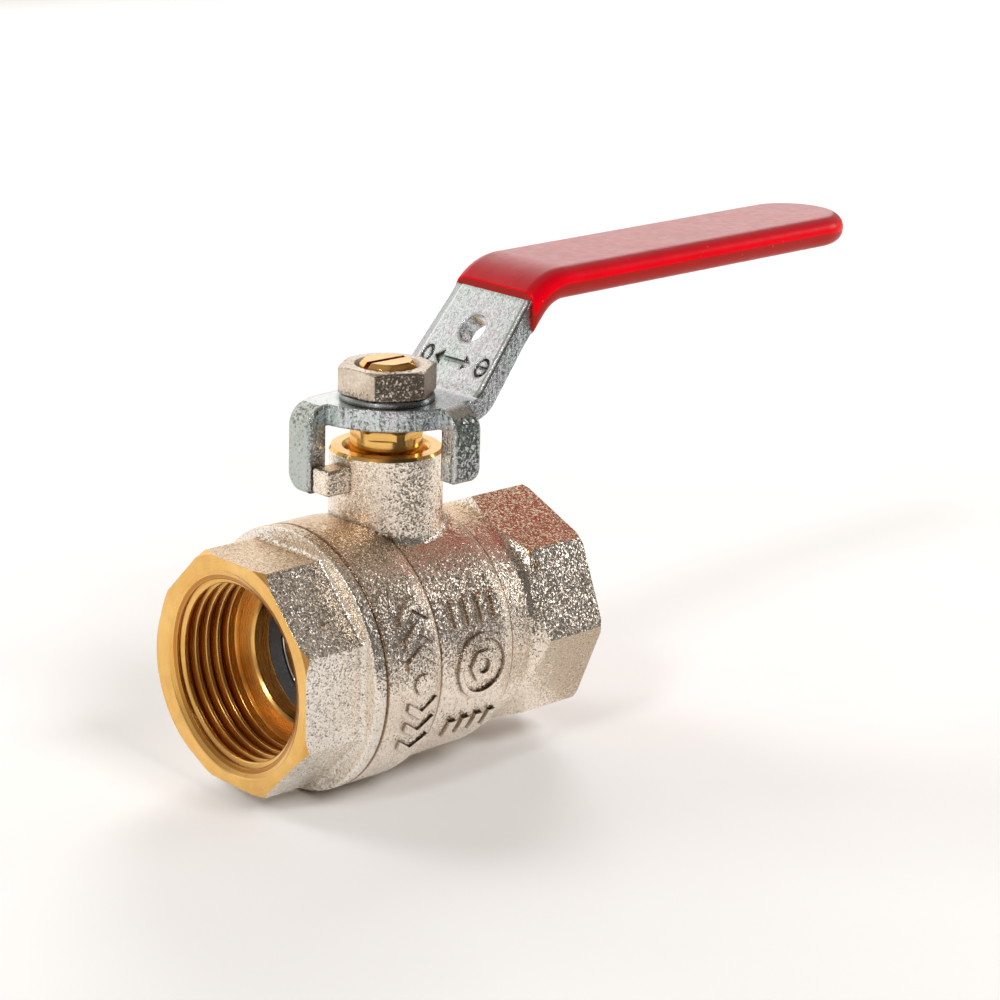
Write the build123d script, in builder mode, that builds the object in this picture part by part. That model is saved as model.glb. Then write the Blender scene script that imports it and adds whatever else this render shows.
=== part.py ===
"""Two-piece brass ball valve, G 3/4 female at both ends, with a flat steel lever handle.

Frame: the origin is the ball's centre, +X runs along the pipe axis from the screwed-in end connector
to the body's own port, and +Z runs up the stem. The valve stands open, with its lever along +X.
All lengths are in millimetres and all angles in degrees.
"""

import os
from math import cos, radians, sin, sqrt, tan

from build123d import *

os.makedirs("parts", exist_ok=True)

# ---------------------------------------------------------------- driving dimensions
HALF_LENGTH = 26.0
OCTAGON_AF = 31.0
OCTAGON_CORNER_R = OCTAGON_AF / 2 / cos(radians(22.5))
BAND_R = 18.1

# G 3/4 pipe thread
THREAD_PITCH = 1.814
# both minor radii lie within the standard's band, 12.06 to 12.33
INLET_MINOR_R = 12.06
OUTLET_MINOR_R = 12.24
THREAD_MAJOR_R = 13.22
THREAD_CRESTS = 5
CREST_WIDTH = 0.36

# flow path
BALL_R = 14.0
BALL_BORE_R = 9.2
SEAT_BORE_R = 9.3
PORT_BORE_R = 9.1
CAVITY_R = 14.35
SEAT_R = 12.5
SEAT_BACK_X = 12.75
SEAT_FRONT_X = 8.95
SLIP = 0.05

# joint between the connector and the body
JOINT_X = -14.5
CONNECTOR_NOSE_X = -8.9
CONNECTOR_MALE_R = 15.95

# stem column, heights above the pipe axis
NECK_R = 7.75
NECK_TOP = 27.0
STEM_R = 4.0
STEM_THREAD_R = 3.8
STEM_FLATS = 6.0
STEM_TOP = 38.75
FLANGE_R = 5.6
FLANGE_BOTTOM = 14.6
WASHER_POCKET_TOP = 16.4
PACKING_FLOOR = 18.6
PACKING_R = 5.3
PACKING_HEIGHT = 1.55
GLAND_THREAD_R = 5.5
SLOT_FLOOR = 10.6
TANG_WIDTH = 5.0

# lever
SHEET = 2.85
HUB_BOTTOM = 30.65
HUB_TOP = HUB_BOTTOM + SHEET
LEVER_HALF_WIDTH = 7.5
LEVER_TIP_X = 87.5
INCLINE = 51.0
GRIP_RISE = 1.0
GRIP_TIP_Z = 48.25
SLEEVE_SIDE_WALL = 0.75
SLEEVE_WALL = 0.8
SLEEVE_START_X = 19.0
STOP_HALF_WIDTH = 1.7
EAR_GAP = 0.05

# lever fasteners
NUT_AF = 11.8
NUT_BOTTOM = HUB_TOP + 0.8
NUT_TOP = NUT_BOTTOM + 3.9


def save(part, name):
    """Labels one finished piece and writes its STEP file."""
    part.label = name
    export_step(part, f"parts/{name}.step")


def port_outline(toward, minor_r):
    """The (x, radius) outline of a threaded port, from the end face inwards; toward is the end's side, -1 or +1."""
    crest_start = 1.32
    root_half = 0.16
    flank = (THREAD_PITCH - CREST_WIDTH) / 2 - root_half
    rounding = 0.12 * flank
    # mouth: a fine lip, a wide countersink and the thread's run-in
    points = [(0, 14.1), (0.1, 13.95), (0.62, 12.75), (0.72, 12.92), (0.95, 12.92), (1.2, 12.2)]
    for crest in range(THREAD_CRESTS):
        start = crest_start + crest * THREAD_PITCH
        points.append((start, minor_r))
        if crest < THREAD_CRESTS - 1:
            middle = start + (CREST_WIDTH + THREAD_PITCH) / 2
            points.append((start + CREST_WIDTH, minor_r))
            points.append((start + CREST_WIDTH + rounding, minor_r + 0.07))
            points.append((middle - root_half - rounding, THREAD_MAJOR_R - 0.09))
            points.append((middle - root_half, THREAD_MAJOR_R))
            points.append((middle + root_half, THREAD_MAJOR_R))
            points.append((middle + root_half + rounding, THREAD_MAJOR_R - 0.09))
            points.append((start + THREAD_PITCH - rounding, minor_r + 0.07))
    # plain bore behind the thread and its cone down to the flow bore
    points.append((9.7, minor_r))
    points.append((10.5, PORT_BORE_R + 0.35))
    points.append((10.85, PORT_BORE_R))
    return [(toward * (HALF_LENGTH - depth), radius) for depth, radius in points]


def octagon_envelope(toward, face_r, root_r, root_x, rise):
    """Half section of a turned envelope: chamfered at the end face and swept up from its root circle."""
    outer_r = OCTAGON_CORNER_R + 0.3
    end_x = toward * HALF_LENGTH
    chamfer_x = toward * (HALF_LENGTH - (outer_r - face_r))
    rise_end = (root_x + toward * rise, outer_r)
    with BuildLine() as outline:
        Polyline((root_x, 0), (end_x, 0), (end_x, face_r), (chamfer_x, outer_r), rise_end)
        if rise:
            TangentArc((root_x, root_r), rise_end, tangent=(toward, 0))
            Line((root_x, root_r), (root_x, 0))
        else:
            Line(rise_end, (root_x, 0))
    return outline.line


# ---------------------------------------------------------------- end connector
FLANGE_FRONT_X = -16.5
FLANGE_ROUNDING = 0.4
JOINT_CHAMFER = 0.2
CONNECTOR_FACE_R = 16.1
ROUND_SIDE_R = 16.9

with BuildPart() as end_connector:
    with BuildSketch(Plane.YZ.offset(-HALF_LENGTH)):
        RegularPolygon(OCTAGON_AF / 2, 8, major_radius=False, rotation=22.5)
    extrude(amount=HALF_LENGTH + FLANGE_FRONT_X)
    with BuildSketch(Plane.XZ):
        add(octagon_envelope(-1, CONNECTOR_FACE_R, 0, FLANGE_FRONT_X, 0))
        make_face()
    revolve(axis=Axis.X, mode=Mode.INTERSECT)
    with BuildSketch(Plane.XZ):
        with BuildLine():
            Line((JOINT_X, 0), (FLANGE_FRONT_X, 0))
            Line((FLANGE_FRONT_X, 0), (FLANGE_FRONT_X, BAND_R - FLANGE_ROUNDING))
            TangentArc(
                (FLANGE_FRONT_X, BAND_R - FLANGE_ROUNDING),
                (FLANGE_FRONT_X + FLANGE_ROUNDING, BAND_R),
                tangent=(0, 1),
            )
            Polyline(
                (FLANGE_FRONT_X + FLANGE_ROUNDING, BAND_R),
                (JOINT_X - JOINT_CHAMFER, BAND_R),
                (JOINT_X, BAND_R - JOINT_CHAMFER),
                (JOINT_X, 0),
            )
        make_face()
    revolve(axis=Axis.X)
    root_edges = end_connector.edges().filter_by(
        lambda e: abs(e.center().X - FLANGE_FRONT_X) < 0.01 and e.length < 30
    )
    fillet(root_edges, 0.75)
    # two flats of the +Y lower side are left round, between the end chamfers of their neighbours
    with BuildSketch(Plane.YZ.offset(-HALF_LENGTH)):
        with BuildLine():
            round_side = [
                (radius * cos(radians(angle)), radius * sin(radians(angle)))
                for radius, angle in (
                    (CONNECTOR_FACE_R, 15.2),
                    (ROUND_SIDE_R, -22.5),
                    (CONNECTOR_FACE_R, -60.2),
                )
            ]
            ThreePointArc(*round_side)
            Polyline(round_side[2], (0, 0), round_side[0])
        make_face()
    extrude(amount=HALF_LENGTH + FLANGE_FRONT_X)
    with BuildSketch(Plane.YZ.offset(JOINT_X)):
        Circle(CONNECTOR_MALE_R)
    extrude(amount=CONNECTOR_NOSE_X - JOINT_X)
    nose_rim = end_connector.faces().sort_by(Axis.X)[-1].edges()
    chamfer(nose_rim, 0.5)
    with BuildSketch(Plane.XZ):
        with BuildLine():
            Polyline(
                (-HALF_LENGTH, 0),
                *port_outline(-1, INLET_MINOR_R),
                (-SEAT_BACK_X - SLIP, PORT_BORE_R),
                (-SEAT_BACK_X - SLIP, SEAT_R + SLIP),
                (CONNECTOR_NOSE_X, SEAT_R + SLIP),
                (CONNECTOR_NOSE_X, 0),
                close=True,
            )
        make_face()
    revolve(axis=Axis.X, mode=Mode.SUBTRACT)
save(end_connector.part, "end_connector")

# ---------------------------------------------------------------- body
BODY_FRONT_X = JOINT_X + 0.02
STEP_1_X = -4.6
STEP_1_R = 17.15
STEP_2_X = 9.3
GROOVE_X = 13.4
GROOVE_R = 15.3
BODY_FACE_R = 16.4
MARK_HEIGHT = 0.5
LUG_FRONT_X = -11.5
LUG_BACK_X = -6.0

with BuildPart() as far_octagon:
    with BuildSketch(Plane.YZ.offset(GROOVE_X)):
        RegularPolygon(OCTAGON_AF / 2, 8, major_radius=False)
    extrude(amount=HALF_LENGTH - GROOVE_X)
    with BuildSketch(Plane.XZ):
        add(octagon_envelope(1, BODY_FACE_R, GROOVE_R, GROOVE_X, 2.6))
        make_face()
    revolve(axis=Axis.X, mode=Mode.INTERSECT)

with BuildPart() as marks:
    # raised chevrons along the first band, pointing away from a small hexagon
    with BuildSketch(Plane.XZ.offset(BAND_R + 2)):
        for way in (-1, 1):
            for step in range(3):
                tip = way * (3.9 + 2.9 * step)
                foot = tip - way * 1.7
                with BuildLine():
                    Polyline(
                        (-11.0, foot),
                        (-8.5, tip),
                        (-6.0, foot),
                        (-6.0, foot + way * 1.2),
                        (-8.5, tip + way * 1.2),
                        (-11.0, foot + way * 1.2),
                        close=True,
                    )
                make_face()
        with Locations((-8.5, 0)):
            RegularPolygon(1.5, 6)
    extrude(amount=-BAND_R)
    # ring and bars above and below it on the second band
    with BuildSketch(Plane.XZ.offset(BAND_R + 2)):
        with Locations((3.0, -0.3)):
            Circle(4.5)
            Circle(3.8, mode=Mode.SUBTRACT)
            RegularPolygon(2.3, 6)
            Circle(1.1, mode=Mode.SUBTRACT)
        with Locations((2.7, 7.3)):
            with GridLocations(2.4, 0, 4, 1):
                Rectangle(0.9, 3.4)
        with Locations((3.0, -9.3)):
            with GridLocations(2.4, 0, 4, 1):
                Rectangle(1.3, 2.6)
    extrude(amount=-BAND_R)
    with BuildSketch(Plane.XZ):
        with BuildLine():
            Polyline(
                (-11.5, 0),
                (-11.5, BAND_R + MARK_HEIGHT),
                (-5.6, 17.75 + MARK_HEIGHT),
                (-4.0, 17.1 + MARK_HEIGHT),
                (6.8, 16.9 + MARK_HEIGHT),
                (8.6, 16.4 + MARK_HEIGHT),
                (8.6, 0),
                close=True,
            )
        make_face()
    revolve(axis=Axis.X, mode=Mode.INTERSECT)

NECK_FILLET = 1.6
NECK_FOOT = 12.0

with BuildPart() as neck:
    with BuildSketch(Plane.YZ.offset(-12)):
        Circle(STEP_1_R - 0.25)
    extrude(amount=24)
    with BuildSketch(Plane.XY.offset(NECK_FOOT)):
        Circle(NECK_R)
    extrude(amount=NECK_TOP - NECK_FOOT)
    saddle = neck.edges().filter_by(lambda e: NECK_FOOT < e.center().Z < 18 and e.length > 40)
    fillet(saddle, NECK_FILLET)
    with BuildSketch(Plane.XY.offset(NECK_FOOT)):
        Circle(NECK_R + NECK_FILLET - 0.1)
    extrude(amount=NECK_TOP - NECK_FOOT, mode=Mode.INTERSECT)

with BuildPart() as body:
    with BuildSketch(Plane.XZ):
        with BuildLine():
            Polyline(
                (GROOVE_X + 2.6, 0),
                (BODY_FRONT_X, 0),
                (BODY_FRONT_X, BAND_R - JOINT_CHAMFER),
                (BODY_FRONT_X + JOINT_CHAMFER, BAND_R),
                (-7.8, BAND_R),
            )
            TangentArc((-7.8, BAND_R), (STEP_1_X, 17.3), tangent=(1, 0))
            Line((STEP_1_X, 17.3), (STEP_1_X + 0.15, 17.1))
            Line((STEP_1_X + 0.15, 17.1), (6.6, 16.93))
            TangentArc((6.6, 16.93), (STEP_2_X, 16.15), tangent=(1, -0.02))
            Line((STEP_2_X, 16.15), (STEP_2_X + 0.15, 15.9))
            Line((STEP_2_X + 0.15, 15.9), (GROOVE_X, GROOVE_R))
            Polyline((GROOVE_X, GROOVE_R), (GROOVE_X + 2.6, GROOVE_R), (GROOVE_X + 2.6, 0))
        make_face()
    revolve(axis=Axis.X)
    add(neck.part)
    add(far_octagon.part)
    add(marks.part)
    # stop lug for the lever, on the connector's side of the neck
    with BuildSketch(Plane.XY.offset(21.9)):
        with Locations(((LUG_FRONT_X + LUG_BACK_X) / 2, 0)):
            Rectangle(LUG_BACK_X - LUG_FRONT_X, 2 * STOP_HALF_WIDTH)
    extrude(amount=3.5)
    lug_edges = body.edges().filter_by(
        lambda e: e.center().X < -7.9 and 21.5 < e.center().Z < 25.6
    )
    fillet(lug_edges, 0.45)
    # ball cavity, seat pocket and far port
    with BuildSketch(Plane.XZ):
        with BuildLine():
            Polyline(
                (BODY_FRONT_X, 0),
                (BODY_FRONT_X, CONNECTOR_MALE_R + SLIP),
                (CONNECTOR_NOSE_X + SLIP, CONNECTOR_MALE_R + SLIP),
                (CONNECTOR_NOSE_X + SLIP, CAVITY_R),
                (SEAT_FRONT_X - SLIP, CAVITY_R),
                (SEAT_FRONT_X - SLIP, SEAT_R + SLIP),
                (SEAT_BACK_X + SLIP, SEAT_R + SLIP),
                (SEAT_BACK_X + SLIP, PORT_BORE_R),
                *reversed(port_outline(1, OUTLET_MINOR_R)),
                (HALF_LENGTH, 0),
                close=True,
            )
        make_face()
    revolve(axis=Axis.X, mode=Mode.SUBTRACT)
    # stem column: flange pocket, guide hole, packing box and gland thread
    with BuildSketch(Plane.XZ):
        with BuildLine():
            Polyline(
                (0, 8),
                (FLANGE_R + 0.3, 8),
                (FLANGE_R + 0.3, WASHER_POCKET_TOP),
                (STEM_R + 0.06, WASHER_POCKET_TOP),
                (STEM_R + 0.06, PACKING_FLOOR),
                (PACKING_R, PACKING_FLOOR),
                (PACKING_R, 21.9),
                (GLAND_THREAD_R + SLIP, 22.2),
                (GLAND_THREAD_R + SLIP, NECK_TOP - 0.45),
                (6.0, NECK_TOP),
                (0, NECK_TOP),
                close=True,
            )
        make_face()
    revolve(axis=Axis.Z, mode=Mode.SUBTRACT)
    # machined chamfer round the neck's top
    with BuildSketch(Plane.XZ):
        with BuildLine():
            Polyline(
                (NECK_R - 0.3, NECK_TOP),
                (NECK_R + 1, NECK_TOP),
                (NECK_R + 1, NECK_TOP - 0.45),
                (NECK_R, NECK_TOP - 0.45),
                close=True,
            )
        make_face()
    revolve(axis=Axis.Z, mode=Mode.SUBTRACT)
save(body.part, "body")

# ---------------------------------------------------------------- ball and seats
with BuildPart() as ball:
    Sphere(BALL_R)
    with BuildSketch(Plane.YZ.offset(-BALL_R)):
        Circle(BALL_BORE_R)
    extrude(amount=2 * BALL_R, mode=Mode.SUBTRACT)
    fillet(ball.edges().filter_by(GeomType.CIRCLE), 0.3)
    with BuildSketch(Plane.XY.offset(SLOT_FLOOR)):
        Rectangle(TANG_WIDTH + 2 * SLIP, 2 * BALL_R)
    extrude(amount=BALL_R, mode=Mode.SUBTRACT)
save(ball.part, "ball")


def seat(toward):
    """A PTFE seat ring whose hollow face follows the ball with a hair of clearance."""
    contact_r = BALL_R + 0.03
    bore_x = sqrt(contact_r**2 - SEAT_BORE_R**2)
    face_r = sqrt(contact_r**2 - SEAT_FRONT_X**2)
    middle_angle = radians(45)
    with BuildPart() as ring:
        with BuildSketch(Plane.XZ):
            with BuildLine():
                Polyline(
                    (toward * bore_x, SEAT_BORE_R),
                    (toward * (SEAT_BACK_X - 0.2), SEAT_BORE_R),
                    (toward * SEAT_BACK_X, SEAT_BORE_R + 0.2),
                    (toward * SEAT_BACK_X, SEAT_R),
                    (toward * SEAT_FRONT_X, SEAT_R),
                    (toward * SEAT_FRONT_X, face_r),
                )
                ThreePointArc(
                    (toward * SEAT_FRONT_X, face_r),
                    (toward * contact_r * cos(middle_angle), contact_r * sin(middle_angle)),
                    (toward * bore_x, SEAT_BORE_R),
                )
            make_face()
        revolve(axis=Axis.X)
    return ring.part


save(seat(-1), "inlet_seat")
save(seat(1), "outlet_seat")

# ---------------------------------------------------------------- stem
ORING_GROOVE = (16.95, 18.05)
ORING_GROOVE_R = 3.05

with BuildPart() as stem:
    with BuildSketch(Plane.XZ):
        with BuildLine():
            Polyline(
                (0, SLOT_FLOOR + 0.2),
                (4.4, SLOT_FLOOR + 0.2),
                (4.4, FLANGE_BOTTOM),
                (FLANGE_R, FLANGE_BOTTOM),
                (FLANGE_R, 15.75),
                (STEM_R, 15.75),
                (STEM_R, ORING_GROOVE[0]),
                (ORING_GROOVE_R, ORING_GROOVE[0]),
                (ORING_GROOVE_R, ORING_GROOVE[1]),
                (STEM_R, ORING_GROOVE[1]),
                (STEM_R, HUB_BOTTOM),
                (STEM_THREAD_R, HUB_BOTTOM),
                (STEM_THREAD_R, STEM_TOP - 0.6),
                (STEM_THREAD_R - 0.6, STEM_TOP),
                (0, STEM_TOP),
                close=True,
            )
        make_face()
    revolve(axis=Axis.Z)
    # drive tang under the flange
    for side in (-1, 1):
        with BuildSketch(Plane.XY.offset(SLOT_FLOOR)):
            with Locations((side * (TANG_WIDTH / 2 + 2), 0)):
                Rectangle(4, 12)
        extrude(amount=FLANGE_BOTTOM - SLOT_FLOOR, mode=Mode.SUBTRACT)
    # two flats along the threaded end
    for side in (-1, 1):
        with BuildSketch(Plane.XY.offset(HUB_BOTTOM)):
            with Locations((0, side * (STEM_FLATS / 2 + 2))):
                Rectangle(12, 4)
        extrude(amount=STEM_TOP - HUB_BOTTOM, mode=Mode.SUBTRACT)
    # open-position slot across the top
    with BuildSketch(Plane.XY.offset(STEM_TOP - 1.1)):
        Rectangle(12, 0.9)
    extrude(amount=2, mode=Mode.SUBTRACT)
save(stem.part, "stem")

# ---------------------------------------------------------------- stem seals and gland nut
with BuildPart() as thrust_washer:
    with BuildSketch(Plane.XY.offset(15.8)):
        Circle(FLANGE_R + 0.2)
        Circle(STEM_R + SLIP, mode=Mode.SUBTRACT)
    extrude(amount=WASHER_POCKET_TOP - 15.8)
save(thrust_washer.part, "thrust_washer")

with BuildPart(Plane.XY.offset((ORING_GROOVE[0] + ORING_GROOVE[1]) / 2)) as stem_o_ring:
    Torus(ORING_GROOVE_R + 0.5, 0.49)
save(stem_o_ring.part, "stem_o_ring")


def packing_ring(bottom):
    """One PTFE packing ring in the box under the gland nut."""
    with BuildPart() as ring:
        with BuildSketch(Plane.XY.offset(bottom)):
            Circle(PACKING_R - 0.02)
            Circle(STEM_R + 0.03, mode=Mode.SUBTRACT)
        extrude(amount=PACKING_HEIGHT)
        chamfer(ring.edges(), 0.15)
    return ring.part


save(packing_ring(PACKING_FLOOR + 0.02), "packing_ring_lower")
save(packing_ring(PACKING_FLOOR + 0.04 + PACKING_HEIGHT), "packing_ring_upper")

GLAND_BOTTOM = PACKING_FLOOR + 0.08 + 2 * PACKING_HEIGHT
GLAND_TOP = 29.75
GLAND_HEX_AF = 9.1
GLAND_HEX_BOTTOM = 28.6
GLAND_COLLAR_R = 4.95

with BuildPart() as gland_nut:
    with BuildSketch(Plane.XZ):
        with BuildLine():
            Polyline(
                (STEM_R + 0.06, GLAND_BOTTOM),
                (PACKING_R - 0.1, GLAND_BOTTOM),
                (PACKING_R - 0.1, 22.4),
                (GLAND_THREAD_R, 22.6),
                (GLAND_THREAD_R, 26.0),
                (GLAND_COLLAR_R, 26.3),
                (GLAND_COLLAR_R, GLAND_TOP - 0.3),
                (GLAND_COLLAR_R - 0.3, GLAND_TOP),
                (4.4, GLAND_TOP),
                (STEM_R + 0.06, GLAND_TOP - 0.35),
                close=True,
            )
        make_face()
    revolve(axis=Axis.Z)
    with BuildSketch(Plane.XY.offset(GLAND_HEX_BOTTOM)):
        Circle(8)
        RegularPolygon(GLAND_HEX_AF / 2, 6, major_radius=False, rotation=12, mode=Mode.SUBTRACT)
    extrude(amount=4, mode=Mode.SUBTRACT)
save(gland_nut.part, "gland_nut")

# ---------------------------------------------------------------- lever
slope = tan(radians(INCLINE))
HUB_MID_Z = HUB_BOTTOM + SHEET / 2
TAG_HOLE = (15.24, 40.88)
TAG_HOLE_R = 2.25
SIGN_Y = 5.5
SIGN_DOWN = 5.15
SIGN_DEPTH = 0.5
LOWER_CORNER_X = TAG_HOLE[0] - (TAG_HOLE[1] - HUB_TOP) / slope + SHEET / 2 * tan(radians(INCLINE / 2))
LOWER_CORNER = (LOWER_CORNER_X, HUB_MID_Z)
rise = tan(radians(GRIP_RISE))
UPPER_CORNER_X = (GRIP_TIP_Z - LEVER_TIP_X * rise - HUB_MID_Z + LOWER_CORNER_X * slope) / (slope - rise)
UPPER_CORNER = (UPPER_CORNER_X, HUB_MID_Z + (UPPER_CORNER_X - LOWER_CORNER_X) * slope)
LOWER_BEND_R = 4.0
UPPER_BEND_R = 7.5
EAR_BEND_R = 3.2
EAR_OUTER = 12.0
LEFT_EAR_END_Y = 6.2
LEFT_EAR_BOTTOM = 21.7
RIGHT_EAR_END_X = 6.3
RIGHT_EAR_BOTTOM = 23.75


def on_grip(x):
    """The point on the grip's middle line at that x."""
    return (x, GRIP_TIP_Z - (LEVER_TIP_X - x) * rise)


def lever_plan(edge, tip_x):
    """Plan outline of the sheet from the bend to the tip, grown by edge on each side."""
    half = LEVER_HALF_WIDTH + edge
    tip_r = half
    with BuildSketch(Plane.XY.offset(HUB_BOTTOM - 10)) as plan:
        with BuildLine():
            Polyline((tip_x - tip_r, -half), (17.5, -half), (9.5, -half - 0.8), (7.9, -half - 0.8), (7.9, 0))
            Polyline((7.9, 0), (7.9, half + 0.8), (9.5, half + 0.8), (17.5, half), (tip_x - tip_r, half))
            ThreePointArc((tip_x - tip_r, half), (tip_x, 0), (tip_x - tip_r, -half))
        make_face()
    return plan.sketch


with BuildPart() as lever:
    # arm: bent strip trimmed to its plan outline
    with BuildSketch(Plane.XZ):
        with BuildLine():
            FilletPolyline(
                (7.9, HUB_MID_Z),
                LOWER_CORNER,
                UPPER_CORNER,
                on_grip(LEVER_TIP_X + 2),
                radius=(LOWER_BEND_R, UPPER_BEND_R),
            )
        trace(line_width=SHEET)
    extrude(amount=12, both=True)
    with BuildSketch(Plane.XY.offset(HUB_BOTTOM - 10)):
        add(lever_plan(0, LEVER_TIP_X))
    extrude(amount=40, mode=Mode.INTERSECT)
    # hub plate
    ear_edge = STOP_HALF_WIDTH + EAR_GAP
    flat_end = EAR_OUTER - EAR_BEND_R
    with BuildSketch(Plane.XY.offset(HUB_BOTTOM)):
        with BuildLine():
            Polyline((-flat_end, LEFT_EAR_END_Y), (-flat_end, ear_edge), (-8.6, ear_edge))
            ThreePointArc((-8.6, ear_edge), (-5.2, -5.2), (ear_edge, -8.6))
            Polyline((ear_edge, -8.6), (ear_edge, -flat_end), (RIGHT_EAR_END_X, -flat_end), (6.45, -8.4))
            ThreePointArc((6.45, -8.4), (7.05, -7.8), (7.9, -8.3))
            Line((7.9, -8.3), (7.9, 8.3))
            Spline((7.9, 8.3), (3.0, 7.6), (-3.0, 7.0), (-flat_end, LEFT_EAR_END_Y))
        make_face()
    extrude(amount=SHEET)
    # stop ears, folded down
    with BuildSketch(Plane.XZ.offset(-LEFT_EAR_END_Y)):
        with BuildLine():
            Polyline(
                (-flat_end, HUB_TOP),
                (-flat_end, HUB_BOTTOM),
                (-EAR_OUTER + SHEET, HUB_BOTTOM),
                (-EAR_OUTER + SHEET, LEFT_EAR_BOTTOM),
                (-EAR_OUTER, LEFT_EAR_BOTTOM),
                (-EAR_OUTER, HUB_TOP - EAR_BEND_R),
            )
            TangentArc((-EAR_OUTER, HUB_TOP - EAR_BEND_R), (-flat_end, HUB_TOP), tangent=(0, 1))
        make_face()
    extrude(amount=LEFT_EAR_END_Y - ear_edge)
    with BuildSketch(Plane.YZ.offset(ear_edge)):
        with BuildLine():
            Polyline(
                (-flat_end, HUB_TOP),
                (-flat_end, HUB_BOTTOM),
                (-EAR_OUTER + SHEET, HUB_BOTTOM),
                (-EAR_OUTER + SHEET, RIGHT_EAR_BOTTOM),
                (-EAR_OUTER, RIGHT_EAR_BOTTOM),
                (-EAR_OUTER, HUB_TOP - EAR_BEND_R),
            )
            TangentArc((-EAR_OUTER, HUB_TOP - EAR_BEND_R), (-flat_end, HUB_TOP), tangent=(0, 1))
        make_face()
    extrude(amount=RIGHT_EAR_END_X - ear_edge)
    # rounded free corners of the ears
    left_corner = lever.edges().filter_by(Axis.X).filter_by(
        lambda e: e.center().Z < 22 and e.center().Y > 5
    )
    fillet(left_corner, 2.4)
    right_corner = lever.edges().filter_by(Axis.Y).filter_by(
        lambda e: e.center().Z < 24 and e.center().X > 5 and e.center().Y < -9
    )
    fillet(right_corner, 1.6)
    # punched edge round the outer face of each ear, drawn in by the die
    for ear_axis, edge_r in ((Axis.X, 0.5), (Axis.Y, 0.4)):
        outer_edges = lever.edges().filter_by_position(ear_axis, -EAR_OUTER - SLIP, -EAR_OUTER + SLIP)
        bend_edges = lever.edges().filter_by(GeomType.CIRCLE).filter_by_position(
            ear_axis, -EAR_OUTER + 0.9, -EAR_OUTER + 1.0
        )
        flat_part = outer_edges.filter_by(lambda e: e.center().Z < HUB_BOTTOM - 2)
        bent_part = bend_edges.filter_by(lambda e: e.center().Z > HUB_BOTTOM)
        fillet(flat_part + bent_part, edge_r)
    # double-D hole for the stem
    with BuildSketch(Plane.XY.offset(HUB_BOTTOM - 1)):
        Circle(STEM_THREAD_R + SLIP)
        Rectangle(12, STEM_FLATS + 2 * SLIP, mode=Mode.INTERSECT)
    extrude(amount=SHEET + 2, mode=Mode.SUBTRACT)
    # tag hole through the incline
    tag_plane = Plane(
        origin=(TAG_HOLE[0], 0, TAG_HOLE[1]),
        x_dir=(0, 1, 0),
        z_dir=(-sin(radians(INCLINE)), 0, cos(radians(INCLINE))),
    )
    with BuildSketch(tag_plane):
        Circle(TAG_HOLE_R)
    extrude(amount=4, both=True, mode=Mode.SUBTRACT)
    # stamped signs below the tag hole: open ring, two-way arrow and barred ring
    with BuildSketch(tag_plane):
        with Locations((SIGN_Y, SIGN_DOWN)):
            Ellipse(1.05, 1.45)
            Ellipse(0.5, 0.9, mode=Mode.SUBTRACT)
        with Locations((-SIGN_Y, SIGN_DOWN)):
            Ellipse(1.2, 1.5)
            Ellipse(0.75, 1.05, mode=Mode.SUBTRACT)
            Rectangle(2.0, 0.5)
        with Locations((0.4, SIGN_DOWN)):
            Rectangle(5.2, 0.7)
        for way in (-1, 1):
            with Locations((0.4 + way * 2.6, SIGN_DOWN)):
                Triangle(a=2.4, B=52, C=52, rotation=-way * 90)
    extrude(amount=-SIGN_DEPTH, mode=Mode.SUBTRACT)
save(lever.part, "lever")

# ---------------------------------------------------------------- lever grip
SLEEVE_HALF_WIDTH = LEVER_HALF_WIDTH + SLEEVE_SIDE_WALL
SLEEVE_THICKNESS = SHEET + 2 * SLEEVE_WALL
SLEEVE_EDGE_R = 2.15
tip_centre_x = LEVER_TIP_X + SLEEVE_SIDE_WALL - SLEEVE_HALF_WIDTH

tip_centre = on_grip(tip_centre_x)
lower_run = (LOWER_CORNER_X + 4, HUB_MID_Z + 4 * slope)

with BuildPart() as lever_grip:
    with BuildLine(Plane.XZ) as grip_path:
        FilletPolyline(lower_run, UPPER_CORNER, tip_centre, radius=UPPER_BEND_R)
    with BuildSketch(Plane(origin=grip_path.line @ 0, x_dir=(0, 1, 0), z_dir=grip_path.line % 0)):
        RectangleRounded(2 * SLEEVE_HALF_WIDTH, SLEEVE_THICKNESS, SLEEVE_EDGE_R)
    sweep(path=grip_path.line)
    # rounded tip
    with BuildSketch(Plane.XZ):
        with Locations(Location((*tip_centre, 0), GRIP_RISE)):
            RectangleRounded(2 * SLEEVE_HALF_WIDTH, SLEEVE_THICKNESS, SLEEVE_EDGE_R)
            with Locations((-10, 0)):
                Rectangle(20, 20, mode=Mode.SUBTRACT)
    tip_axis = Axis((tip_centre[0], 0, tip_centre[1]), (-sin(radians(GRIP_RISE)), 0, cos(radians(GRIP_RISE))))
    revolve(axis=tip_axis)
    # the dipping line: a plane square to the pipe axis, with a rounded lip
    with BuildSketch(Plane.XZ):
        with Locations((SLEEVE_START_X - 10, HUB_TOP)):
            Rectangle(20, 60)
    extrude(amount=12, both=True, mode=Mode.SUBTRACT)
    fillet(lever_grip.faces().sort_by(Axis.X)[0].edges(), 0.45)
    # the steel inside
    with BuildSketch(Plane.XZ):
        with BuildLine():
            FilletPolyline(lower_run, UPPER_CORNER, on_grip(LEVER_TIP_X + 2), radius=UPPER_BEND_R)
        trace(line_width=SHEET + 0.02)
    core = extrude(amount=12, both=True, mode=Mode.PRIVATE)
    with BuildSketch(Plane.XY.offset(HUB_BOTTOM - 10)):
        add(lever_plan(0.01, LEVER_TIP_X + 0.01))
    outline = extrude(amount=40, mode=Mode.PRIVATE)
    add(core & outline, mode=Mode.SUBTRACT)
save(lever_grip.part, "lever_grip")

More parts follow.
